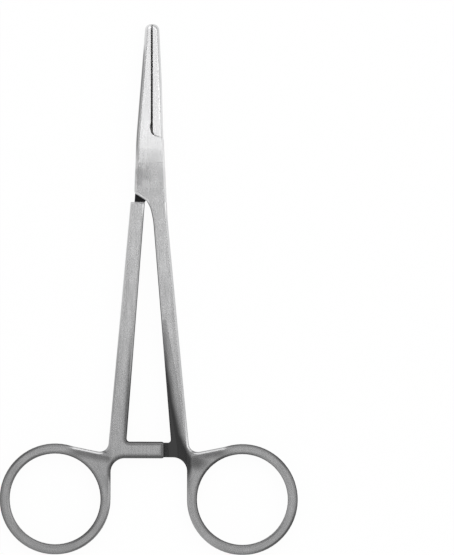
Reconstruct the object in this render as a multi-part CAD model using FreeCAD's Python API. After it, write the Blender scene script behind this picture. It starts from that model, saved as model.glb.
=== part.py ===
import FreeCAD, Part
import math
import os

# Hemostat forceps with a box lock, closed and latched on the ratchet. Sizes are in millimetres.
# The pivot axis is Z through the origin. The jaws point along +Y and the finger rings lie towards -Y.
# The forceps lies on the back face of the box, at Z = 0, and both forgings are centred front to back.

# Reach of the instrument from the pivot
jaw_reach = 38.1
ring_drop = 87.3
ring_spread = 24.72

# Depth from front to back, along the instrument
box_depth = 4.8
jaw_root_depth = 4.2
jaw_tip_depth = 2.6
shank_mid_depth = 3.87
shank_mid_y = 40.0
ring_depth = 3.6
depth_blend_r = 110.0

# Jaws: outer half widths from the middle line, parting line and serrations
jaw_left_tip = 1.24
jaw_right_tip = 2.27
jaw_left_root = 3.55
jaw_right_root = 3.52
jaw_root_y = 8.5
jaw_right_belly = 0.14
jaw_belly_r = 250.0
jaw_tip_r = 1.6
jaw_edge_r = 0.9
parting_tip_x = 0.40
parting_root_x = 0.49
parting_tip_gap = 0.08
parting_root_gap = 0.20
parting_bevel_width = 0.2
parting_bevel_depth = 0.55
serration_pitch = 0.6
serration_depth = 0.25
serration_start_y = 11.4
root_relief = 0.3
root_relief_r = 1.6

# Box and waist of the box lock
box_left_foot_x = 4.1
box_left_foot_y = 6.45
box_shoulder_r = 8.65
box_flat_top_y = 3.5
box_flat_foot_y = 4.5
jaw_depth_start_y = 12.5
shoulder_gap = 0.15
shoulder_y = 8.84
shoulder_bevel = 0.7
crotch_x = 0.87
crotch_y = 8.5
fork_x = 1.02
fork_y = 1.7
fork_r = 6.0
fork_top_r = 20.0
slot_depth = 2.2
slot_side_gap = 0.05
slot_wall_gap = 0.08
slot_window_foot = 3.3
waist_r = 3.4
neck_foot_x = 4.0
neck_jaw_inset = 0.3
opening_angle = 60.0

# Pivot pin
pin_r = 1.2
pin_head_r = 1.6
pin_head_depth = 0.4
pin_running_gap = 0.03

# Shanks: tapered bars from just below the box to the ratchet
shank_top_y = 13.5
shank_to_arm = 4.3
shank_top_width = 3.8
shank_end_width = 4.6
box_shank_top_x = 2.84
box_shank_end_x = 7.95
inner_shank_top_x = 3.52
inner_shank_end_x = 8.1
shank_blend_r = 60.0
edge_bevel = 0.35
edge_easing = 0.22

# Finger rings and the webs that join them to the shanks
ring_bore_r = 12.0
ring_wall = 2.62
web_angle = 18.2
web_rise = 12.0
web_root_r = 2.4
web_blend_r = 8.0

# Ratchet arms: half as deep as the shanks, with a sloped parting plane
arm_rise = 13.0
front_arm_height = 4.38
rear_arm_height = 3.85
arm_reach = 4.0
arm_corner_r = 0.62
arm_root_r = 0.8
arm_blend_r = 3.7
arm_slope = 6.0
arm_gap = 0.10
tooth_count = 3
tooth_pitch = 1.5
tooth_depth = 0.5
tooth_land = 0.3
tooth_lead = 0.8
tooth_rake = 0.08

# Relief that leads from the front of a shank down to its half depth arm
relief_start_y = 40.0
relief_mid_y = 57.0
relief_mid_width = 2.6
relief_mid_r = 30.0
relief_end_width = 4.0
relief_end_r = 12.0
relief_step = 0.7
relief_angles = (6.0, 13.0, 21.0)

# How far cutters and joined pieces run past the faces that they meet
overlap = 1.0
# Margin within which two places in plan count as the same
near = 0.1
# Largest width in plan of an upright edge, and largest tilts of an upright wall and of a front or back face
edge_slack = 0.001
wall_slack = 0.01
flat_slack = 0.02
# Share of a straight run that a rounded corner may take: beside another rounded corner, and by itself
half_run = 0.49
whole_run = 0.98

ring_r = ring_bore_r + ring_wall
arm_centre_y = ring_drop - arm_rise
shank_end_y = arm_centre_y - shank_to_arm
box_shank = (box_shank_top_x, box_shank_end_x)
inner_shank = (inner_shank_top_x, inner_shank_end_x)
pivot = FreeCAD.Vector(0, 0, 0)
up = FreeCAD.Vector(0, 0, 1)
far = 2 * ring_drop


def vec(x, y, z=0.0):
    return FreeCAD.Vector(x, y, z)


def along(start, end, at):
    # X at a given Y on the straight line through two (x, y) points
    return start[0] + (end[0] - start[0]) * (at - start[1]) / (end[1] - start[1])


def rounded_path(corners):
    # Straight runs joined by tangent arcs; a corner is (x, y, radius), and a radius yields to short runs
    edges = []
    start = vec(corners[0][0], corners[0][1])
    for before, corner, after in zip(corners, corners[1:], corners[2:]):
        here = vec(corner[0], corner[1])
        back = vec(before[0], before[1]) - here
        ahead = vec(after[0], after[1]) - here
        room = min(
            back.Length * (half_run if before[2] else whole_run),
            ahead.Length * (half_run if after[2] else whole_run),
        )
        back.normalize()
        ahead.normalize()
        half_turn = back.getAngle(ahead) / 2
        radius = min(corner[2], room * math.tan(half_turn))
        if radius <= 0:
            edges.append(Part.LineSegment(start, here).toShape())
            start = here
            continue
        reach = radius / math.tan(half_turn)
        middle = here + (back + ahead).normalize() * (radius / math.sin(half_turn) - radius)
        edges.append(Part.LineSegment(start, here + back * reach).toShape())
        edges.append(Part.Arc(here + back * reach, middle, here + ahead * reach).toShape())
        start = here + ahead * reach
    edges.append(Part.LineSegment(start, vec(corners[-1][0], corners[-1][1])).toShape())
    return edges


def prism(edges, low, high):
    # Flat outline in X and Y carried from one height to another
    face = Part.Face(Part.Wire(Part.__sortEdges__(edges)))
    face.translate(vec(0, 0, low))
    return face.extrude(vec(0, 0, high - low))


def polygon_prism(points, low, high):
    corners = [(x, y, 0) for x, y in points]
    return prism(rounded_path(corners + corners[:1]), low, high)


def cylinder(radius, low, high):
    return Part.makeCylinder(radius, high - low, vec(0, 0, low))


def turned_over(shape):
    # Half a turn about the long axis swaps left with right and front with back
    return shape.rotated(pivot, vec(0, 1, 0), 180)


def depth_envelope():
    # Side view of the whole instrument, thickest at the box, carried across its width
    side = [
        (jaw_reach + overlap, jaw_tip_depth / 2, 0),
        (jaw_reach, jaw_tip_depth / 2, 0),
        (jaw_depth_start_y, jaw_root_depth / 2, depth_blend_r),
        (box_flat_top_y, box_depth / 2, depth_blend_r),
        (-box_flat_foot_y, box_depth / 2, depth_blend_r),
        (-shank_mid_y, shank_mid_depth / 2, depth_blend_r),
        (-shank_end_y, ring_depth / 2, depth_blend_r),
        (-ring_drop - ring_r - overlap, ring_depth / 2, 0),
    ]
    mirrored = [(y, -z, r) for y, z, r in reversed(side)]
    face = Part.Face(Part.Wire(rounded_path(side + mirrored + side[:1])))
    face.rotate(pivot, vec(1, 1, 1), 120)
    face.translate(vec(-far, 0, 0))
    return face.extrude(vec(2 * far, 0, 0))


def vertical_edge(solid, x, y):
    # Upright edge nearest to a place in plan
    upright = [e for e in solid.Edges if e.BoundBox.XLength + e.BoundBox.YLength < edge_slack]
    return min(upright, key=lambda e: math.hypot(e.BoundBox.XMin - x, e.BoundBox.YMin - y))


def rim_edges(solid, keep):
    # Edges between the upright walls and the front or back face, where keep(x, y) holds at mid-length
    rims = []
    for face in solid.Faces:
        u_low, u_high, v_low, v_high = face.ParameterRange
        normal = face.normalAt((u_low + u_high) / 2, (v_low + v_high) / 2)
        if abs(normal.z) > wall_slack:
            continue
        for edge in face.Edges:
            middle = edge.valueAt((edge.FirstParameter + edge.LastParameter) / 2)
            if edge.BoundBox.ZLength < jaw_tip_depth / 2 and keep(middle.x, middle.y):
                rims.append(edge)
    return rims


def flat_edges(solid, keep):
    # Outlines of the front and back faces, where keep(x, y) holds at mid-length of an edge
    found = {}
    for face in solid.Faces:
        u_low, u_high, v_low, v_high = face.ParameterRange
        normal = face.normalAt((u_low + u_high) / 2, (v_low + v_high) / 2)
        if abs(normal.z) < 1 - flat_slack:
            continue
        for edge in face.Edges:
            found.setdefault(edge.hashCode(), []).append(edge)
    edges = [same[0] for same in found.values() if len(same) == 1]
    middles = [edge.valueAt((edge.FirstParameter + edge.LastParameter) / 2) for edge in edges]
    return [edge for edge, middle in zip(edges, middles) if keep(middle.x, middle.y)]


def shank_side(shank, side, y):
    # X of a shank's outer (side +1) or inner (side -1) edge at a given Y
    top = (shank[0] + side * shank_top_width / 2, -shank_top_y)
    end = (shank[1] + side * shank_end_width / 2, -shank_end_y)
    return along(top, end, y)


def handle_outline(shank, arm_height, head):
    # Ring, arm and shank seen from the front; head holds the corners from the inner edge to the outer one
    ring_x = ring_spread
    ring_y = -ring_drop
    arm_top = -arm_centre_y + arm_height / 2
    arm_foot = -arm_centre_y - arm_height / 2
    leave = math.radians(web_angle)
    inner = (ring_x - ring_r, ring_y)
    outer = (ring_x - ring_r * math.sin(leave), ring_y + ring_r * math.cos(leave))
    web_y = ring_y + web_rise
    corners = [
        (inner[0], inner[1], 0),
        (inner[0], arm_foot, arm_blend_r),
        (-arm_reach, arm_foot, arm_corner_r),
        (-arm_reach, arm_top, arm_corner_r),
        (shank_side(shank, -1, arm_top), arm_top, arm_root_r),
    ]
    corners += head
    corners.append((shank_side(shank, 1, web_y), web_y, web_root_r))
    corners.append((outer[0], outer[1], 0))
    edges = rounded_path(corners)
    low = vec(ring_x + ring_r * math.sin(leave), ring_y - ring_r * math.cos(leave))
    edges.append(Part.Arc(vec(*outer), low, vec(*inner)).toShape())
    return edges, outer


def above_arm_plane(gap):
    # Everything in front of the sloped plane that the two ratchet arms share
    block = Part.makeBox(2 * far, 2 * far, far, vec(-far, -far, gap))
    return block.rotated(pivot, vec(0, -1, 0), arm_slope)


def relieve_arm(blank, shank):
    # Rolls the front of a right-hand shank down to its rear arm, in facets that steepen inwards
    inner_x = ring_spread - ring_r
    above = above_arm_plane(-arm_gap / 2)
    for step, angle in enumerate(relief_angles):
        shift = relief_step * step
        rim = [
            (shank_side(shank, -1, -relief_start_y) - shift, -relief_start_y, 0),
            (shank_side(shank, -1, -relief_mid_y) + relief_mid_width - shift, -relief_mid_y, relief_mid_r),
            (shank_side(shank, -1, -arm_centre_y) + relief_end_width - shift, -arm_centre_y, relief_end_r),
            (inner_x - shift, -ring_drop, 0),
        ]
        outline = rounded_path(rim + [(-far, -ring_drop, 0), (-far, -relief_start_y, 0), rim[0]])
        face = Part.Face(Part.Wire(outline))
        run = box_depth / math.tan(math.radians(angle))
        face.translate(vec(run / 2, 0, (ring_depth + box_depth) / 2))
        slab = face.extrude(vec(-run, 0, -box_depth))
        blank = blank.cut(slab.common(above))
    return blank


def cut_teeth(handle, arm_height):
    # Saw teeth across the front of a rear arm, steep on the side away from its tip
    for tooth in range(tooth_count):
        x = -arm_reach + tooth_lead + tooth * tooth_pitch
        end = x + tooth_pitch - tooth_land
        foot = end - tooth_rake
        corners = [(x, 1, 0), (x, 0, 0), (foot, -tooth_depth, 0), (end, 0, 0), (end, 1, 0)]
        face = Part.Face(Part.Wire(rounded_path(corners + corners[:1])))
        face.rotate(pivot, vec(1, 0, 0), 90)
        groove = face.extrude(vec(0, 2 * arm_height, 0))
        groove.translate(vec(0, -arm_centre_y - arm_height, -arm_gap / 2))
        handle = handle.cut(groove.rotated(pivot, vec(0, -1, 0), arm_slope))
    return handle


def round_rims(solid, radius, keep):
    return solid.makeFillet(radius, rim_edges(solid, keep))


def bevel_rims(solid, keep):
    # Bevel, and an easing of its inner corner, which together read as a rounded edge
    solid = solid.makeChamfer(edge_bevel, rim_edges(solid, keep))
    return solid.makeChamfer(edge_easing, flat_edges(solid, keep))


def forge_blank(outline, outer):
    # Drop forging with its finger ring, before the edges are ground
    blank = prism(outline, -box_depth, box_depth)
    blank = blank.makeFillet(web_blend_r, [vertical_edge(blank, outer[0], outer[1])])
    bore = cylinder(ring_bore_r, -box_depth, box_depth)
    bore.translate(vec(ring_spread, -ring_drop, 0))
    return blank.cut(bore).common(depth_envelope())


def parting_x(y):
    return along((parting_root_x, serration_start_y), (parting_tip_x, jaw_reach), y)


def parting_gap(y):
    return along((parting_root_gap, serration_start_y), (parting_tip_gap, jaw_reach), y)


def parting_cutter(side):
    # Serrated block that clears the far side of the parting line: +1 for the left jaw, -1 for the right
    points = []
    count = int((jaw_reach + overlap - serration_start_y) / serration_pitch)
    for step in range(2 * count + 1):
        y = serration_start_y + step * serration_pitch / 2
        swing = serration_depth / 2 * (1 if step % 2 else -1)
        points.append((parting_x(y) + swing - side * parting_gap(y) / 2, y))
    root = parting_x(serration_start_y) - side * root_relief
    outside = side * jaw_reach
    ends = [(outside, points[-1][1]), (outside, 0), (root, 0), (root, serration_start_y)]
    return polygon_prism(points + ends, -box_depth, box_depth)


def jaw_half_depth(y):
    return along((jaw_root_depth / 2, jaw_depth_start_y), (jaw_tip_depth / 2, jaw_reach), y)


def bevel_parting(jaw):
    # Long V grooves break the front and back edges of the jaws along the parting line
    root = vec(parting_x(serration_start_y), serration_start_y, jaw_half_depth(serration_start_y))
    end_y = jaw_reach + overlap
    end = vec(parting_x(end_y), end_y, jaw_half_depth(end_y))
    middle_gap = (parting_root_gap + parting_tip_gap) / 2
    half = parting_bevel_width + middle_gap / 2
    left = vec(-half, 0, 0)
    right = vec(half, 0, 0)
    corners = [left, vec(0, 0, -parting_bevel_depth), right, right + up * overlap, left + up * overlap]
    face = Part.Face(Part.makePolygon(corners + corners[:1]))
    face.translate(root)
    groove = face.extrude(end - root)
    return jaw.cut(groove).cut(groove.mirror(pivot, up))


def tangent(x, y, turn):
    # Unit direction and contact point of the line from the waist's round hub out to a point; turn is +1 or -1
    distance = math.hypot(x, y)
    angle = math.atan2(y, x) + turn * math.acos(waist_r / distance)
    touch = vec(math.cos(angle), math.sin(angle)) * waist_r
    return touch, (vec(x, y) - touch).normalize()


def waist_necks():
    # Outer corners of the two necks, first the side that meets a slot wall at rest, then at full opening
    jaw_inner = parting_x(serration_start_y) + root_relief
    jaw_outer = jaw_right_root - neck_jaw_inset
    shank_inner = -shank_side(inner_shank, -1, -shoulder_y)
    upper = [tangent(jaw_inner, box_shoulder_r, 1), tangent(jaw_outer, box_shoulder_r, -1)]
    lower = [tangent(shank_inner, -shoulder_y, 1), tangent(-neck_foot_x, -shoulder_y, -1)]
    return [upper, lower]


def waist():
    # Thin middle of the inner half that passes through the box
    half = slot_depth / 2 - slot_side_gap
    body = cylinder(waist_r, -half, half)
    for (touch, way), (other, back) in waist_necks():
        reach = box_shoulder_r + overlap
        corners = [touch, touch + way * reach, other + back * reach, other, pivot]
        body = body.fuse(polygon_prism([(c.x, c.y) for c in corners], -half, half))
    return body.removeSplitter()


def slot():
    # Room that the waist sweeps between rest and full opening, with a round lower end in the side window
    half = slot_depth / 2
    grow = (waist_r + slot_wall_gap) / waist_r
    swing = FreeCAD.Rotation(up, -opening_angle)
    room = cylinder(waist_r + slot_wall_gap, -half, half)
    for (touch, way), (other, back) in waist_necks():
        start = touch * grow
        end = swing.multVec(other * grow)
        corners = [start, start + way * jaw_reach, end + swing.multVec(back) * jaw_reach, end, pivot]
        room = room.fuse(polygon_prism([(c.x, c.y) for c in corners], -half, half))
    window_y = -slot_window_foot + half
    window = Part.makeBox(far, -window_y, slot_depth, vec(0, window_y, -half))
    round_end = Part.makeCylinder(half, far, vec(0, window_y, 0), vec(1, 0, 0))
    return room.fuse([window, round_end])


def pin():
    # Rivet whose swaged ends fill the countersinks in both cheeks and are ground flush
    half = box_depth / 2
    body = cylinder(pin_r, -half, half)
    head = Part.makeCone(pin_r, pin_head_r, pin_head_depth, vec(0, 0, half - pin_head_depth))
    return body.fuse([head, head.mirror(pivot, up)]).removeSplitter()


def box_half():
    # Left jaw, slotted box, right shank, right ring and rear ratchet arm in one forging
    crest = parting_x(jaw_reach) + serration_depth
    jaw_seat_x = crest - near
    top = box_shoulder_r + overlap
    head = [
        (shank_side(box_shank, -1, -shank_top_y), -shank_top_y, fork_top_r),
        (fork_x - crotch_x, -crotch_y - fork_y, fork_r),
        (-crotch_x, -crotch_y, 0),
        (-box_left_foot_x, -box_left_foot_y, 0),
        (-jaw_left_root, jaw_root_y, shank_blend_r),
        (-jaw_left_tip, jaw_reach, jaw_tip_r),
        (crest, jaw_reach, 0),
        (crest, top, 0),
        (jaw_right_root, top, 0),
        (shank_side(box_shank, 1, -shank_top_y), -shank_top_y, shank_blend_r),
    ]
    outline, outer = handle_outline(box_shank, rear_arm_height, head)
    blank = forge_blank(outline, outer)
    blank = round_rims(blank, jaw_edge_r, lambda x, y: x < jaw_seat_x and y > -box_left_foot_y)
    blank = bevel_rims(blank, lambda x, y: y < -box_left_foot_y or x > crest + near and y < top - near)
    blank = relieve_arm(blank, box_shank)
    blank = cut_teeth(blank, rear_arm_height)
    clear = parting_cutter(1).cut(cylinder(box_shoulder_r, -box_depth, box_depth))
    blank = blank.cut(clear)
    corner_x = parting_x(serration_start_y) - root_relief
    corner_y = math.sqrt(box_shoulder_r ** 2 - corner_x ** 2)
    blank = blank.makeFillet(root_relief_r, [vertical_edge(blank, corner_x, corner_y)])
    blank = bevel_parting(blank)
    return blank.cut(slot()).cut(pin())


def inner_jaw():
    # Right jaw down to the round shoulder that faces the box
    inside = parting_x(jaw_reach) - serration_depth
    foot = box_shoulder_r - overlap
    middle_y = (jaw_reach + jaw_root_y) / 2
    middle_x = (jaw_right_tip + jaw_right_root) / 2 + jaw_right_belly
    corners = [
        (inside, foot, 0),
        (inside, jaw_reach, 0),
        (jaw_right_tip, jaw_reach, jaw_tip_r),
        (middle_x, middle_y, jaw_belly_r),
        (jaw_right_root, foot, 0),
        (inside, foot, 0),
    ]
    blank = prism(rounded_path(corners), -box_depth, box_depth).common(depth_envelope())
    blank = round_rims(blank, jaw_edge_r, lambda x, y: x > inside + near and y > foot + near)
    shoulder_r = box_shoulder_r + shoulder_gap
    blank = blank.cut(cylinder(shoulder_r, -box_depth, box_depth)).cut(parting_cutter(-1))
    corner_x = parting_x(serration_start_y) + root_relief
    corner_y = math.sqrt(shoulder_r ** 2 - corner_x ** 2)
    blank = blank.makeFillet(root_relief_r, [vertical_edge(blank, corner_x, corner_y)])
    return bevel_parting(blank)


def bevel_shoulder(handle):
    # Breaks the front and back edges of the shoulder that faces the foot of the box
    top = (box_depth / 2, -box_flat_foot_y)
    height = along(top, (shank_mid_depth / 2, -shank_mid_y), -shoulder_y)
    corners = [
        vec(-far, -shoulder_y - shoulder_bevel, height),
        vec(-far, -shoulder_y, height - shoulder_bevel),
        vec(-far, -shoulder_y + overlap, height - shoulder_bevel),
        vec(-far, -shoulder_y + overlap, height + overlap),
        vec(-far, -shoulder_y - shoulder_bevel, height + overlap),
    ]
    wedge = Part.Face(Part.makePolygon(corners + corners[:1])).extrude(vec(2 * far, 0, 0))
    return handle.cut(wedge).cut(wedge.mirror(pivot, up))


def inner_handle():
    # Left shank, ring and front arm, made as a right-hand handle and turned over
    head = [
        (shank_side(inner_shank, -1, -shoulder_y), -shoulder_y, 0),
        (shank_side(inner_shank, 1, -shoulder_y), -shoulder_y, 0),
    ]
    outline, outer = handle_outline(inner_shank, front_arm_height, head)
    blank = forge_blank(outline, outer)
    blank = bevel_rims(blank, lambda x, y: y < -shoulder_y - near)
    blank = bevel_shoulder(relieve_arm(blank, inner_shank))
    return turned_over(cut_teeth(blank, front_arm_height))


def inner_half():
    # Right jaw, waist, left shank, left ring and front ratchet arm in one forging
    body = inner_handle().fuse([waist(), inner_jaw()]).removeSplitter()
    return body.cut(cylinder(pin_r + pin_running_gap, -box_depth, box_depth))


def write_parts():
    os.makedirs("parts", exist_ok=True)
    nodes = {"box_half": box_half(), "inner_half": inner_half(), "pivot_pin": pin()}
    for name, shape in nodes.items():
        solid = shape.Solids[0]
        solid.translate(vec(0, 0, box_depth / 2))
        print(name, "solids", len(shape.Solids), "valid", solid.isValid(), "volume", round(solid.Volume, 2))
        solid.exportStep("parts/" + name + ".step")


write_parts()
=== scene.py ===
import bpy
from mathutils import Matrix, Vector

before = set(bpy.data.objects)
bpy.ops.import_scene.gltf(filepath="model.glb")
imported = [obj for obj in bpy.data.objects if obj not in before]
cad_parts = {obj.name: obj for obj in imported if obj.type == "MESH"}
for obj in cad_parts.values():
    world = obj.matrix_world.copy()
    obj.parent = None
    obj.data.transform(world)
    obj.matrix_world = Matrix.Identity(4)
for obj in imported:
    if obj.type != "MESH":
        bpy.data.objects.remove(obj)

scene = bpy.context.scene
scene.view_settings.view_transform = "Standard"
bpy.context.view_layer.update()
print("frame:", ", ".join(sorted(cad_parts)))


def newGroup(name, inputs, outputs):
    group = bpy.data.node_groups.new(name, "ShaderNodeTree")
    for label, kind, value in inputs:
        socket = group.interface.new_socket(label, in_out="INPUT", socket_type="NodeSocket" + kind)
        if value is not None:
            socket.default_value = value
    for label, kind in outputs:
        group.interface.new_socket(label, in_out="OUTPUT", socket_type="NodeSocket" + kind)
    start = group.nodes.new("NodeGroupInput")
    end = group.nodes.new("NodeGroupOutput")
    return group, start.outputs, end.inputs


def place(tree, groupTree, **values):
    node = tree.nodes.new("ShaderNodeGroup")
    node.node_tree = groupTree
    for label, value in values.items():
        plug(tree, value, node.inputs[label])
    return node.outputs


def plug(tree, value, socket):
    if isinstance(value, bpy.types.NodeSocket):
        tree.links.new(value, socket)
    elif value is not None:
        socket.default_value = value


def sums(tree, operation, first, second=None, third=None):
    node = tree.nodes.new("ShaderNodeMath")
    node.operation = operation
    for value, socket in zip((first, second, third), node.inputs):
        plug(tree, value, socket)
    return node.outputs[0]


def times(tree, *values):
    total = values[0]
    for value in values[1:]:
        total = sums(tree, "MULTIPLY", total, value)
    return total


def largest(tree, *values):
    most = values[0]
    for value in values[1:]:
        most = sums(tree, "MAXIMUM", most, value)
    return most


def inverse(tree, value):
    return sums(tree, "SUBTRACT", 1.0, value)


def hypot(tree, first, second):
    squares = sums(tree, "MULTIPLY_ADD", first, first, sums(tree, "MULTIPLY", second, second))
    return sums(tree, "SQRT", squares)


def remap(tree, value, low, high, newLow=0.0, newHigh=1.0, smooth=True):
    node = tree.nodes.new("ShaderNodeMapRange")
    node.interpolation_type = "SMOOTHSTEP" if smooth else "LINEAR"
    labels = ("Value", "From Min", "From Max", "To Min", "To Max")
    for socket, item in zip(labels, (value, low, high, newLow, newHigh)):
        plug(tree, item, node.inputs[socket])
    return node.outputs[0]


def curve(tree, value, knots, top=1.0):
    # values between knots follow straight runs
    low, high = knots[0][0], knots[-1][0]
    node = tree.nodes.new("ShaderNodeFloatCurve")
    plug(tree, remap(tree, value, low, high, smooth=False), node.inputs["Value"])
    line = node.mapping.curves[0].points
    line[0].location = (0.0, knots[0][1] / top)
    line[1].location = (1.0, knots[-1][1] / top)
    for at, height in knots[1:-1]:
        line.new((at - low) / (high - low), height / top)
    for point in line:
        point.handle_type = "VECTOR"
    node.mapping.update()
    return sums(tree, "MULTIPLY", node.outputs[0], top)


def blendColour(tree, mask, first, second):
    node = tree.nodes.new("ShaderNodeMix")
    node.data_type = "RGBA"
    plug(tree, mask, node.inputs[0])
    plug(tree, first, node.inputs[6])
    plug(tree, second, node.inputs[7])
    return node.outputs[2]


def blendValue(tree, mask, first, second):
    node = tree.nodes.new("ShaderNodeMix")
    plug(tree, mask, node.inputs[0])
    plug(tree, first, node.inputs[2])
    plug(tree, second, node.inputs[3])
    return node.outputs[0]


def noise(tree, vector, scale, detail, roughness=0.5):
    node = tree.nodes.new("ShaderNodeTexNoise")
    plug(tree, vector, node.inputs["Vector"])
    plug(tree, scale, node.inputs["Scale"])
    node.inputs["Detail"].default_value = detail
    node.inputs["Roughness"].default_value = roughness
    return node.outputs["Fac"]


def stretched(tree, vector, factors):
    node = tree.nodes.new("ShaderNodeVectorMath")
    node.operation = "MULTIPLY"
    plug(tree, vector, node.inputs[0])
    plug(tree, factors, node.inputs[1])
    return node.outputs[0]


def split(tree, vector):
    node = tree.nodes.new("ShaderNodeSeparateXYZ")
    tree.links.new(vector, node.inputs[0])
    return node.outputs


def joined(tree, x, y, z):
    node = tree.nodes.new("ShaderNodeCombineXYZ")
    for value, socket in zip((x, y, z), node.inputs):
        plug(tree, value, socket)
    return node.outputs[0]


# Places in the groups are in millimetres. Across counts from the middle line towards a half's own ring,
# and Facing is 1 on the face of a half that carries the relief.

mmPerMetre = 1000.0
ringSize = {"across": 24.72, "y": -87.3, "bandMiddle": 13.31, "bandHalf": 1.31}
midHeight = 2.4   # half the thickness of the box


def fromRing(group, across, y):
    # place as seen from the ring's centre
    return sums(group, "SUBTRACT", across, ringSize["across"]), sums(group, "SUBTRACT", y, ringSize["y"])


def offMiddleHeight(group, z):
    # distance from the middle plane, towards the front or the back
    return sums(group, "ABSOLUTE", sums(group, "SUBTRACT", z, midHeight))


def makeFineGrain():
    # brush marks that run along the instrument, and round the finger ring where Ring is 1
    group, given, made = newGroup(
        "fineGrain",
        [
            ("Place", "Vector", None), ("Across", "Float", 0.0),
            ("Ring", "Float", 0.0), ("Lines per mm", "Float", 4.0),
        ],
        [("Grain", "Float")],
    )
    x, y, z = split(group, given["Place"])
    straight = joined(group, x, times(group, y, 0.035), z)
    u, v = fromRing(group, given["Across"], y)
    turn = sums(group, "ARCTAN2", v, u)
    curled = joined(group, hypot(group, u, v), times(group, turn, 0.6), z)
    marks = blendValue(
        group, given["Ring"],
        noise(group, straight, given["Lines per mm"], 3.0, 0.6),
        noise(group, curled, given["Lines per mm"], 3.0, 0.6),
    )
    plug(group, marks, made["Grain"])
    return group


def makeStreaks():
    # a few broad, soft streaks along the shanks, left by the grinding belt
    group, given, made = newGroup(
        "beltStreaks",
        [("Place", "Vector", None), ("Across", "Float", 0.0), ("Streaks per mm", "Float", 0.55)],
        [("Streak", "Float")],
    )
    x, y = split(group, given["Place"])[:2]
    leaning = sums(group, "MULTIPLY_ADD", y, 0.079, given["Across"])
    lines = joined(group, leaning, times(group, y, 0.03), times(group, x, 0.002))
    shanks = times(group, remap(group, y, -14.0, -22.0), remap(group, y, -66.0, -56.0))
    swing = remap(group, noise(group, lines, given["Streaks per mm"], 1.0), 0.3, 0.7, -1.0, 1.0)
    plug(group, times(group, swing, shanks), made["Streak"])
    return group


def makeCloud():
    # soft patches left by hand polishing, and one darker patch on the box
    group, given, made = newGroup(
        "polishCloud",
        [("Place", "Vector", None), ("Patches per mm", "Float", 0.42)],
        [("Cloud", "Float"), ("DarkPatch", "Float")],
    )
    x, y, z = split(group, given["Place"])
    patches = noise(group, joined(group, x, times(group, y, 0.7), z), given["Patches per mm"], 4.0, 0.6)
    plug(group, remap(group, patches, 0.42, 0.72), made["Cloud"])
    patchX = times(group, sums(group, "ADD", x, 1.9), 0.46)
    patchY = times(group, sums(group, "ADD", y, 1.6), 0.42)
    away = hypot(group, patchX, patchY)
    ragged = sums(group, "MULTIPLY_ADD", sums(group, "SUBTRACT", patches, 0.5), 3.2, away)
    plug(group, remap(group, ragged, 0.45, 1.45, 1.0, 0.0), made["DarkPatch"])
    return group


def makeScratches():
    # a few hairline scratches from use
    group, given, made = newGroup("hairScratches", [("Place", "Vector", None)], [("Scratches", "Float")])
    spin = group.nodes.new("ShaderNodeVectorRotate")
    spin.rotation_type = "Z_AXIS"
    group.links.new(given["Place"], spin.inputs["Vector"])
    spin.inputs["Angle"].default_value = 0.35
    lines = stretched(group, spin.outputs[0], (1.0, 0.02, 1.0))
    plug(group, remap(group, noise(group, lines, 1.1, 1.0), 0.72, 0.78), made["Scratches"])
    return group


def makeRingShade():
    # a finger ring: its area, and how much painted shade falls on its rounded rims, by the way each rim leans
    group, given, made = newGroup(
        "ringShade",
        [("Place", "Vector", None), ("Across", "Float", 0.0)],
        [("Ring", "Float"), ("Rim", "Float")],
    )
    y = split(group, given["Place"])[1]
    u, v = fromRing(group, given["Across"], y)
    r = hypot(group, u, v)
    outer = remap(group, r, 13.2, 13.4)
    offMiddle = sums(group, "ABSOLUTE", sums(group, "SUBTRACT", r, ringSize["bandMiddle"]))
    offMiddle = sums(group, "DIVIDE", offMiddle, ringSize["bandHalf"])
    lean = sums(group, "DIVIDE", times(group, u, sums(group, "MULTIPLY_ADD", outer, 2.0, -1.0)), r)
    depth = times(group, remap(group, lean, -0.8, -0.1, 0.3, 1.0), remap(group, v, -14.0, -4.0, 0.8, 1.0))
    web = times(group, remap(group, u, -3.6, -5.4), remap(group, v, -3.0, 1.0), outer)
    area = remap(group, r, 14.7, 15.6, 1.0, 0.0)
    plug(group, area, made["Ring"])
    plug(group, times(group, remap(group, offMiddle, 0.2, 1.05), depth, inverse(group, web), area), made["Rim"])
    return group


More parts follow.
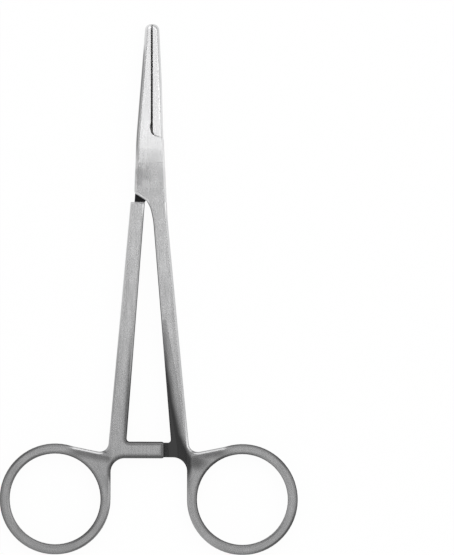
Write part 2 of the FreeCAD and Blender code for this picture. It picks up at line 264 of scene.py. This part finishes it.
def makeInnerShade():
    # painted shade along the inner edge of a shank and round the edges of its ratchet arm
    group, given, made = newGroup(
        "innerShade",
        [
            ("Place", "Vector", None), ("Across", "Float", 0.0),
            ("Top inner x", "Float", 1.62), ("Lean per mm", "Float", 0.074),
        ],
        [("Rim", "Float")],
    )
    y = split(group, given["Place"])[1]
    across = given["Across"]
    down = sums(group, "SUBTRACT", -13.5, y)
    edge = sums(group, "MULTIPLY_ADD", down, given["Lean per mm"], given["Top inner x"])
    beside = sums(group, "MAXIMUM", sums(group, "ADD", sums(group, "SUBTRACT", across, edge), 0.8), 0.0)
    below = sums(group, "MAXIMUM", sums(group, "SUBTRACT", -71.31, y), 0.0)
    upper = sums(group, "SUBTRACT", hypot(group, beside, below), 0.8)
    width = remap(group, y, -71.0, -66.0, 1.35, 1.7)
    strength = curve(group, y, [(-78.0, 0.93), (-61.0, 0.93), (-50.7, 0.72), (-42.0, 0.25), (-36.0, 0.0)])
    upperRim = times(group, remap(group, upper, 0.1, width, 1.0, 0.0), strength)
    beside = sums(group, "MAXIMUM", sums(group, "SUBTRACT", across, 6.4), 0.0)
    above = sums(group, "MAXIMUM", sums(group, "ADD", y, 80.19), 0.0)
    lower = sums(group, "SUBTRACT", hypot(group, beside, above), 3.7)
    strength = curve(group, y, [(-88.0, 0.0), (-82.0, 0.5), (-77.5, 0.7), (-76.0, 0.78), (-74.0, 0.78)])
    lowerRim = times(group, remap(group, lower, 0.3, 1.5, 1.0, 0.0), strength)
    tip = times(group, remap(group, across, -3.5, -2.7, 0.68, 0.0), remap(group, y, -70.0, -71.0))
    plug(group, largest(group, upperRim, lowerRim, tip), made["Rim"])
    return group


def makeReliefShade():
    # painted shade on the relief that rolls down to a ratchet arm
    group, given, made = newGroup(
        "reliefShade",
        [
            ("Place", "Vector", None), ("Across", "Float", 0.0),
            ("Facing", "Float", 1.0), ("Softness mm", "Float", 0.95),
        ],
        [("Shade", "Float")],
    )
    y = split(group, given["Place"])[1]
    knots = [
        (-88.0, 8.6), (-84.5, 10.2), (-80.7, 11.0), (-78.6, 11.6), (-76.5, 11.6),
        (-74.4, 10.4), (-72.3, 9.4), (-70.2, 8.5), (-66.0, 7.6), (-61.7, 6.6),
        (-57.5, 6.0), (-53.3, 5.2), (-49.1, 4.1), (-46.0, 3.0), (-43.0, 1.7),
    ]
    edge = curve(group, y, knots, 16.0)
    soft = times(group, given["Softness mm"], remap(group, y, -57.0, -45.0, 1.0, 0.4))
    near = sums(group, "SUBTRACT", edge, soft)
    far = sums(group, "ADD", edge, soft)
    shade = remap(group, given["Across"], near, far, 1.0, 0.0)
    handle = times(group, remap(group, y, -42.0, -52.0), remap(group, y, -88.0, -80.0))
    plug(group, times(group, shade, handle, remap(group, given["Facing"], 0.1, 0.3)), made["Shade"])
    return group


def makeWebShade():
    # painted shade on the web between shank and ring: a fine dark line, the rim, a shaded band below it and its
    # dark root
    group, given, made = newGroup(
        "webShade",
        [("Place", "Vector", None), ("Across", "Float", 0.0), ("Facing", "Float", 1.0)],
        [("Rim", "Float"), ("ShadeBand", "Float"), ("Root", "Float"), ("Line", "Float")],
    )
    y = split(group, given["Place"])[1]
    across = given["Across"]
    edge = sums(group, "MULTIPLY_ADD", across, 0.1917, -77.27)
    below = sums(group, "SUBTRACT", edge, y)
    span = times(group, remap(group, across, 9.3, 10.8), remap(group, across, 18.5, 22.5, 1.0, 0.0))
    plug(group, times(group, remap(group, below, 0.75, 0.95, 1.0, 0.0), span), made["Rim"])
    line = times(group, remap(group, below, -0.8, -0.5), remap(group, below, 0.0, 0.25, 1.0, 0.0))
    line = times(group, line, remap(group, across, 10.6, 11.6), remap(group, across, 15.5, 13.5))
    plug(group, line, made["Line"])
    shadeBand = times(group, remap(group, below, 0.6, 0.95), remap(group, below, 1.3, 3.2, 1.0, 0.0), span)
    plug(group, shadeBand, made["ShadeBand"])
    rootX = times(group, sums(group, "SUBTRACT", across, 12.2), 0.2)
    rootY = times(group, sums(group, "ADD", y, 77.4), 0.3)
    root = remap(group, hypot(group, rootX, rootY), 0.15, 1.0, 1.0, 0.0)
    root = times(group, root, remap(group, below, 0.6, 1.0), remap(group, given["Facing"], 0.1, 0.3))
    plug(group, root, made["Root"])
    return group


def makeBevelShade():
    # painted shade and painted highlight on the bevels, by the way they face
    group, given, made = newGroup(
        "bevelShade",
        [
            ("Place", "Vector", None), ("Normal", "Vector", None),
            ("Inward", "Float", 0.0), ("Ring", "Float", 0.0),
        ],
        [("PaintedShade", "Float"), ("Lift", "Float")],
    )
    y = split(group, given["Place"])[1]
    leanX, leanY, upright = split(group, given["Normal"])
    upright = sums(group, "ABSOLUTE", upright)
    rim = remap(group, upright, 0.968, 0.996, 1.0, 0.0)
    steep = remap(group, upright, 0.78, 0.88, 1.0, 0.0)
    eased = sums(group, "SUBTRACT", rim, steep)
    right = remap(group, leanX, 0.03, 0.2)
    left = remap(group, leanX, -0.03, -0.2)
    head = remap(group, leanY, 0.1, 0.3)
    inward = remap(group, given["Inward"], 0.05, 0.3)
    shank = largest(
        group,
        times(group, right, eased, 0.5),
        times(group, inward, steep, 0.62),
        times(group, head, rim, remap(group, y, -40.0, -60.0), 0.78),
        times(group, inward, eased, sums(group, "MULTIPLY_ADD", right, 0.52, 0.14)),
        times(group, inward, right, rim, remap(group, y, -44.0, -58.0), 0.84),
        times(group, left, rim, remap(group, y, -38.0, -52.0), 0.28),
    )
    band = largest(
        group,
        times(group, right, eased, 0.55),
        times(group, head, eased, 0.5),
        times(group, right, steep, 0.4),
    )
    handle = remap(group, y, -8.8, -9.2)
    shank = times(group, shank, remap(group, y, -9.5, -14.0, 0.45, 1.0))
    shadedBevels = times(group, blendValue(group, given["Ring"], shank, band), handle)
    outerJaw = curve(group, y, [(2.0, 0.0), (6.0, 0.55), (30.0, 0.55), (33.0, 0.1), (38.0, 0.0)])
    jaw = times(group, left, steep, outerJaw)
    depth = curve(group, y, [(-9.0, 0.45), (-3.0, 0.3), (8.0, 0.3), (12.0, 0.29), (31.0, 0.29), (38.2, 0.26)])
    turned = times(group, remap(group, leanX, 0.008, 0.05), inverse(group, steep))
    jaw = sums(group, "MAXIMUM", jaw, times(group, turned, depth, inverse(group, handle)))
    plug(group, sums(group, "MAXIMUM", shadedBevels, jaw), made["PaintedShade"])
    box = times(group, left, eased, remap(group, y, 4.0, -1.0), 0.3)
    tip = times(group, left, rim, remap(group, upright, 0.4, 0.6), remap(group, y, 24.0, 34.0), 0.7)
    beside = times(group, right, steep, remap(group, upright, 0.4, 0.6), remap(group, y, 8.0, 12.0, 0.35, 0.5))
    plug(group, times(group, largest(group, box, tip, beside), inverse(group, handle)), made["Lift"])
    return group


def makeLockShade():
    # painted shade in the parting between the jaws, at its root, and on the neck inside the box lock, where
    # shadow falls
    group, given, made = newGroup(
        "lockShade",
        [("Place", "Vector", None), ("Side", "Float", 0.0)],
        [("GapShade", "Float")],
    )
    x, y, z = split(group, given["Place"])
    middle = sums(group, "MULTIPLY_ADD", y, -0.0034, 0.53)
    off = sums(group, "ABSOLUTE", sums(group, "SUBTRACT", x, middle))
    length = curve(group, y, [(8.9, 0.0), (9.3, 1.0), (34.0, 1.0), (36.6, 0.5), (37.2, 0.0)])
    # the painted shade lies only on the bevelled lips of the parting, so the serrations stay bright
    front = remap(group, y, 12.5, 38.1, 2.10, 1.30, smooth=False)
    under = sums(group, "SUBTRACT", front, offMiddleHeight(group, z))
    lip = remap(group, under, 0.56, 0.72, 1.0, 0.0)
    gap = times(group, remap(group, off, 0.6, 0.8, 1.0, 0.0), length, lip, given["Side"])
    root = hypot(group, sums(group, "SUBTRACT", x, 1.4), times(group, sums(group, "SUBTRACT", y, 8.4), 0.9))
    corner = times(group, remap(group, root, 1.1, 1.5, 1.0, 0.0), given["Side"])
    wideX = times(group, sums(group, "SUBTRACT", x, 0.32), 2.4)
    wideY = times(group, sums(group, "SUBTRACT", y, 11.0), 0.75)
    wide = remap(group, hypot(group, wideX, wideY), 0.55, 1.1, 0.85, 0.0)
    deep = remap(group, offMiddleHeight(group, z), 1.15, 1.25, 1.0, 0.0)
    neck = times(group, deep, remap(group, y, -4.0, -5.5), remap(group, y, -8.95, -8.85))
    plug(group, largest(group, gap, corner, wide, neck), made["GapShade"])
    return group


fineGrain = makeFineGrain()
beltStreaks = makeStreaks()
polishCloud = makeCloud()
hairScratches = makeScratches()
ringShade = makeRingShade()
innerShade = makeInnerShade()
reliefShade = makeReliefShade()
webShade = makeWebShade()
bevelShade = makeBevelShade()
lockShade = makeLockShade()
print("steel effects ready")


def steelMaterial(name, look):
    material = bpy.data.materials.new(name)
    material.use_nodes = True
    tree = material.node_tree
    shader = tree.nodes["Principled BSDF"]
    where = tree.nodes.new("ShaderNodeTexCoord")
    at = stretched(tree, where.outputs["Object"], (mmPerMetre, mmPerMetre, mmPerMetre))
    x, y = split(tree, at)[:2]
    normal = where.outputs["Normal"]
    ways = split(tree, normal)
    leaning, upright = ways[0], ways[2]
    across = times(tree, x, look["hand"])
    ring = place(tree, ringShade, Place=at, Across=across)
    grain = place(tree, fineGrain, Place=at, Across=across, Ring=ring["Ring"])["Grain"]
    cloud = place(tree, polishCloud, Place=at)
    scratches = place(tree, hairScratches, Place=at)["Scratches"]
    streak = place(tree, beltStreaks, Place=at, Across=across)["Streak"]
    # painted light: the brightness the lamps give each stretch of the length is painted into the colour
    tone = curve(tree, y, look["paintedLightAlong"], look["brightest"])
    tone = times(tree, tone, sums(tree, "MULTIPLY_ADD", streak, look["streaks"], 1.0))
    # the ring a little darker towards its top
    ringTop = times(tree, ring["Ring"], remap(tree, y, -82.0, -77.0))
    tone = times(tree, tone, remap(tree, ringTop, 0.0, 1.0, 1.0, look["ringTop"]))
    # one fixed darker patch on the box
    tone = times(tree, tone, sums(tree, "MULTIPLY_ADD", cloud["DarkPatch"], -look["darkPatch"], 1.0))
    tone = times(tree, tone, sums(tree, "MULTIPLY_ADD", cloud["Cloud"], -look["cloud"], 1.0))
    inward = times(tree, leaning, -look["hand"])
    # painted shade and painted highlight on the bevels, by the way they face
    bevel = place(tree, bevelShade, Place=at, Normal=normal, Inward=inward, Ring=ring["Ring"])
    tone = times(tree, tone, sums(tree, "ADD", bevel["Lift"], 1.0))
    if look["handle"]:
        facing = times(tree, upright, look["hand"])
        side = remap(tree, sums(tree, "ABSOLUTE", upright), 0.72, 0.97, 1.0, 0.0)
        inner = place(tree, innerShade, Place=at, Across=across, **look["innerEdge"])["Rim"]
        web = place(tree, webShade, Place=at, Across=across, Facing=facing)
        relief = place(tree, reliefShade, Place=at, Across=across, Facing=facing)["Shade"]
        # painted shade: the strongest of the bevel, inner edge, web and relief shades, the inner edge's shade
        # lifted where a painted highlight lies
        shadedBevels = times(tree, bevel["PaintedShade"], inverse(tree, web["Rim"]))
        bright = times(tree, side, remap(tree, y, -77.0, -79.0), look["brightInner"])
        darkest = largest(
            tree,
            shadedBevels,
            times(tree, inner, inverse(tree, bright)),
            times(tree, web["ShadeBand"], look["shadeBand"]),
            times(tree, web["Root"], look["root"]),
            times(tree, web["Line"], look["webLine"]),
            times(tree, web["Rim"], look["webRim"]),
            times(tree, relief, look["relief"]),
        )
        tone = times(tree, tone, inverse(tree, darkest))
        # painted shade on the ring rims
        tone = times(tree, tone, sums(tree, "MULTIPLY_ADD", ring["Rim"], -look["ringRimShade"], 1.0))
        # painted shade in the parting, at its root and on the neck inside the box lock
        gapShade = place(tree, lockShade, Place=at, Side=side)["GapShade"]
        tone = times(tree, tone, sums(tree, "MULTIPLY_ADD", gapShade, -look["gapShade"], 1.0))
    colour = blendColour(tree, remap(tree, grain, 0.35, 0.65), look["grainDark"], look["grainLight"])
    colour = stretched(tree, colour, joined(tree, tone, tone, tone))
    plug(tree, colour, shader.inputs["Base Color"])
    gloss = remap(tree, grain, 0.3, 0.7, look["roughLow"], look["roughHigh"])
    gloss = sums(tree, "MULTIPLY_ADD", cloud["Cloud"], look["cloudRough"], gloss)
    gloss = sums(tree, "MULTIPLY_ADD", scratches, -look["scratchGloss"], gloss)
    plug(tree, gloss, shader.inputs["Roughness"])
    shader.inputs["Metallic"].default_value = 1.0
    bump = tree.nodes.new("ShaderNodeBump")
    bump.inputs["Strength"].default_value = look["bump"]
    bump.inputs["Distance"].default_value = look["bumpDistance"]
    plug(tree, sums(tree, "MULTIPLY_ADD", scratches, -look["scratchDepth"], grain), bump.inputs["Height"])
    tree.links.new(bump.outputs[0], shader.inputs["Normal"])
    return material


def dress(node, material):
    for slot in node.material_slots:
        slot.material = material


boxHalf = {
    "hand": 1.0,
    "handle": True,
    "grainDark": (0.645, 0.645, 0.65, 1.0),
    "grainLight": (0.67, 0.67, 0.675, 1.0),
    "paintedLightAlong": [
        (-102.0, 0.8), (-79.0, 0.8), (-75.0, 0.86), (-69.0, 0.9), (-62.0, 0.91),
        (-50.0, 0.96), (-34.0, 1.06), (-14.0, 1.09), (-6.0, 1.01), (-2.0, 0.9),
        (-0.3, 0.91), (0.7, 0.98), (1.6, 0.99), (3.2, 0.98), (3.7, 0.95),
        (8.0, 0.95), (12.0, 0.96), (20.0, 0.89), (30.0, 0.84), (38.2, 0.78),
    ],
    "brightest": 1.6,
    "streaks": 0.07,
    "darkPatch": 0.24,
    "cloud": 0.04,
    "innerEdge": {"Top inner x": 0.94, "Lean per mm": 0.0834},
    "brightInner": 0.0,
    "ringRimShade": 0.76,
    "ringTop": 0.93,
    "shadeBand": 0.5,
    "root": 0.64,
    "webLine": 0.66,
    "webRim": 0.2,
    "relief": 0.865,
    "gapShade": 0.97,
    "roughLow": 0.24,
    "roughHigh": 0.27,
    "cloudRough": 0.03,
    "scratchGloss": 0.02,
    "scratchDepth": 0.3,
    "bump": 0.035,
    "bumpDistance": 0.00001,
}
dress(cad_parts["box_half"], steelMaterial("satinSteelBox", boxHalf))

innerHalf = dict(
    boxHalf,
    hand=-1.0,
    innerEdge={"Top inner x": 1.62, "Lean per mm": 0.074},
    brightInner=1.0,
    ringTop=0.98,
    root=0.2,
)
dress(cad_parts["inner_half"], steelMaterial("satinSteelInner", innerHalf))

pivotPin = dict(boxHalf, handle=False)
dress(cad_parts["pivot_pin"], steelMaterial("pinSteel", pivotPin))
print("steel dressed")

whiteTable = {
    "halfSize": 3.0,
    "drop": 0.00005,
    "colour": (0.95, 0.95, 0.95, 1.0),
    "glow": 0.96,
    "gapMiddle": (0.00045, 0.0220),
    "gapHalf": (0.0012, 0.0145),
    "gapFade": (0.0002, 0.0005),
}


def makeFloor(look):
    size = look["halfSize"]
    mesh = bpy.data.meshes.new("floor")
    square = ((-size, -size), (size, -size), (size, size), (-size, size))
    corners = [(x, y, -look["drop"]) for x, y in square]
    mesh.from_pydata(corners, [], [(0, 1, 2, 3)])
    floor = bpy.data.objects.new("floor", mesh)
    scene.collection.objects.link(floor)
    material = bpy.data.materials.new("whiteTable")
    material.use_nodes = True
    tree = material.node_tree
    tree.nodes.clear()
    matte = tree.nodes.new("ShaderNodeBsdfDiffuse")
    matte.inputs["Color"].default_value = look["colour"]
    white = tree.nodes.new("ShaderNodeEmission")
    white.inputs["Color"].default_value = (1.0, 1.0, 1.0, 1.0)
    white.inputs["Strength"].default_value = 1.0
    path = tree.nodes.new("ShaderNodeLightPath")
    seen = sums(tree, "MAXIMUM", path.outputs["Is Camera Ray"], path.outputs["Is Glossy Ray"])
    seen = sums(tree, "MAXIMUM", seen, path.outputs["Is Transmission Ray"])
    where = tree.nodes.new("ShaderNodeTexCoord")
    # no glow straight under the gap between the jaws: the floor there shows its real shadow, on a strip that
    # renders a little darker than the glowing floor round it
    away = []
    spots = split(tree, where.outputs["Object"])[:2]
    for spot, middle, half, fade in zip(spots, look["gapMiddle"], look["gapHalf"], look["gapFade"]):
        off = sums(tree, "ABSOLUTE", sums(tree, "SUBTRACT", spot, middle))
        away.append(remap(tree, off, half, half + fade))
    mix = tree.nodes.new("ShaderNodeMixShader")
    plug(tree, times(tree, seen, look["glow"], largest(tree, *away)), mix.inputs[0])
    tree.links.new(matte.outputs[0], mix.inputs[1])
    tree.links.new(white.outputs[0], mix.inputs[2])
    end = tree.nodes.new("ShaderNodeOutputMaterial")
    tree.links.new(mix.outputs[0], end.inputs["Surface"])
    mesh.materials.append(material)


makeFloor(whiteTable)

softRoom = {"above": 0.36, "around": 0.7, "fade": (0.8, 0.93)}


def makeRoom(look):
    # plain soft light from all round, dimmer straight above
    world = bpy.data.worlds.new("studio")
    world.use_nodes = True
    tree = world.node_tree
    where = tree.nodes.new("ShaderNodeTexCoord")
    height = split(tree, where.outputs["Generated"])[2]
    level = remap(tree, height, *look["fade"], look["around"], look["above"])
    plug(tree, joined(tree, level, level, level), tree.nodes["Background"].inputs["Color"])
    tree.nodes["Background"].inputs["Strength"].default_value = 1.0
    scene.world = world


makeRoom(softRoom)

panelAim = (0.0, -0.03, 0.0)

panels = {
    "headPanel": {"at": (0.2, 0.43, 1.615), "size": (1.6, 0.55), "power": 8.5},
    "tipPanel": {"at": (0.2, 1.05, 1.0), "size": (1.4, 0.5), "power": 2.9},
    "rightPanel": {"at": (1.1, 0.1, 1.0), "size": (1.0, 0.6), "power": 2.3},
}


def makePanels(looks):
    for name, look in looks.items():
        lamp = bpy.data.lights.new(name, "AREA")
        lamp.shape = "RECTANGLE"
        lamp.size, lamp.size_y = look["size"]
        lamp.energy = look["power"]
        holder = bpy.data.objects.new(name, lamp)
        holder.location = look["at"]
        holder.rotation_euler = (Vector(panelAim) - Vector(look["at"])).to_track_quat("-Z", "Y").to_euler()
        holder.visible_camera = False
        scene.collection.objects.link(holder)


makePanels(panels)

photoView = {
    "middle": (0.020469, -0.028697),
    "plane": 0.0039,
    "height": 0.1464645,
    "lens": 600.0,
    "sensor": 36.0,
    "roll": 0.003325,
    "clip": (0.05, 50.0),
}


def makeCamera(view):
    camera = bpy.data.cameras.new("photoCamera")
    camera.lens = view["lens"]
    camera.sensor_width = view["sensor"]
    camera.clip_start, camera.clip_end = view["clip"]
    holder = bpy.data.objects.new("photoCamera", camera)
    distance = view["height"] * view["lens"] / view["sensor"]
    holder.location = (view["middle"][0], view["middle"][1], view["plane"] + distance)
    holder.rotation_euler = (0.0, 0.0, view["roll"])
    scene.collection.objects.link(holder)
    scene.camera = holder


makeCamera(photoView)
print("floor, lamps and camera in place")
